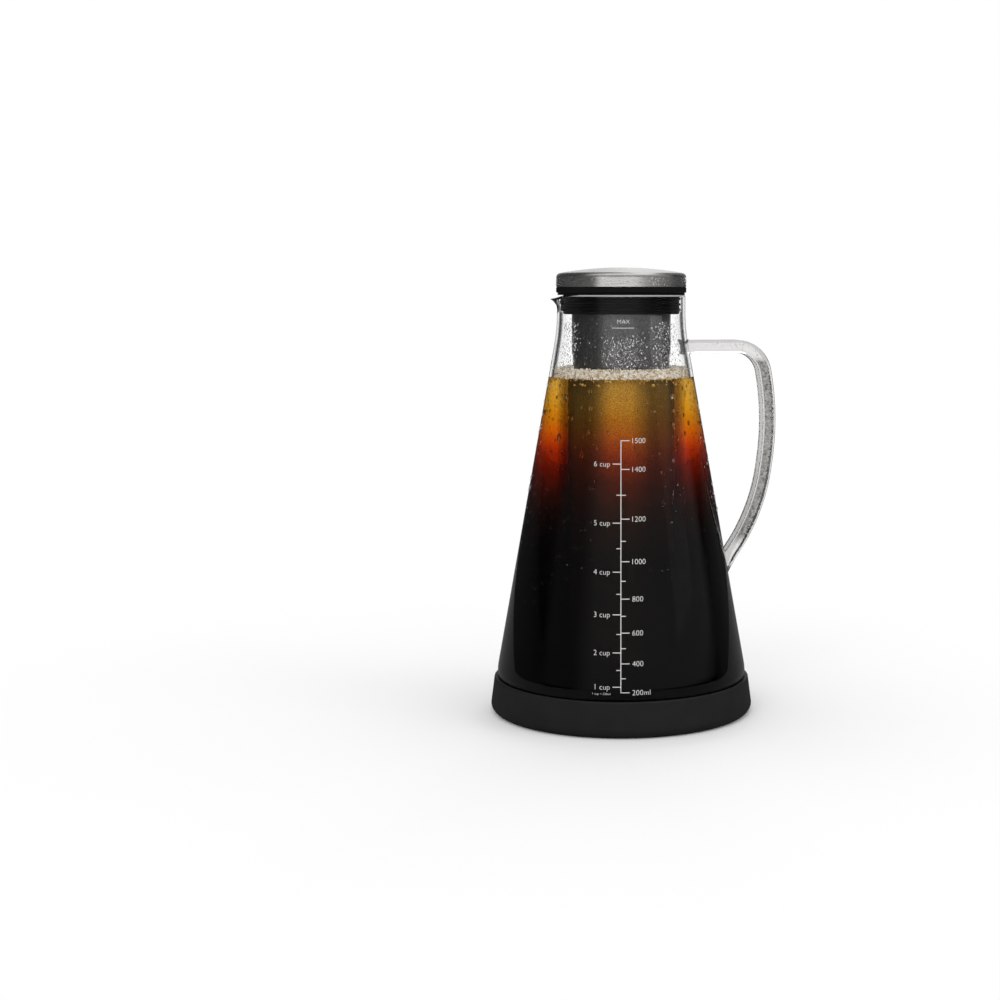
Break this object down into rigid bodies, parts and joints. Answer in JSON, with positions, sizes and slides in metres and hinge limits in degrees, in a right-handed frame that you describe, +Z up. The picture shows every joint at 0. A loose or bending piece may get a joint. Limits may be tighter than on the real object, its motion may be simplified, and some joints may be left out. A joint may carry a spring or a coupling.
{
  "type": "cold brew coffee maker",
  "caption": "Conical glass carafe with a fused glass handle and pulled pouring lip, standing in a silicone boot, with a drop-in steel filter and a steel-capped plug lid.",
  "frame": {"origin": "centre of the boot's underside, on the table", "axes": "+Z up through the middle of the carafe to the lid; +X towards the handle, -X towards the pouring lip"},
  "size_m": [0.1624, 0.1476, 0.2486],
  "materials": {
    "boot_silicone": "satin",
    "seal_silicone": "satin",
    "glass": "polished",
    "filter_steel": "satin",
    "lid_steel": "brushed",
    "core_plastic": "matte"
  },
  "bodies": {
    "boot": {"base_boot": "boot_silicone"},
    "carafe": {"carafe_glass": "glass", "carafe_handle": "glass"},
    "filter": {"filter_collar": "seal_silicone", "filter_mouth_ring": "filter_steel", "filter_screen": "filter_steel", "filter_base_cup": "filter_steel"},
    "lid": {"lid_cap": "lid_steel", "lid_core": "core_plastic", "lid_gasket": "seal_silicone"}
  },
  "joints": [
    {"name": "boot_pull", "type": "slide", "parent": "boot", "child": "carafe", "axis": [0, 0, 1], "range_m": [0, 0.04]},
    {"name": "filter_lift", "type": "slide", "parent": "carafe", "child": "filter", "axis": [0, 0, 1], "range_m": [0, 0.235]},
    {"name": "lid_lift", "type": "slide", "parent": "filter", "child": "lid", "axis": [0, 0, 1], "range_m": [0, 0.06]}
  ]
}
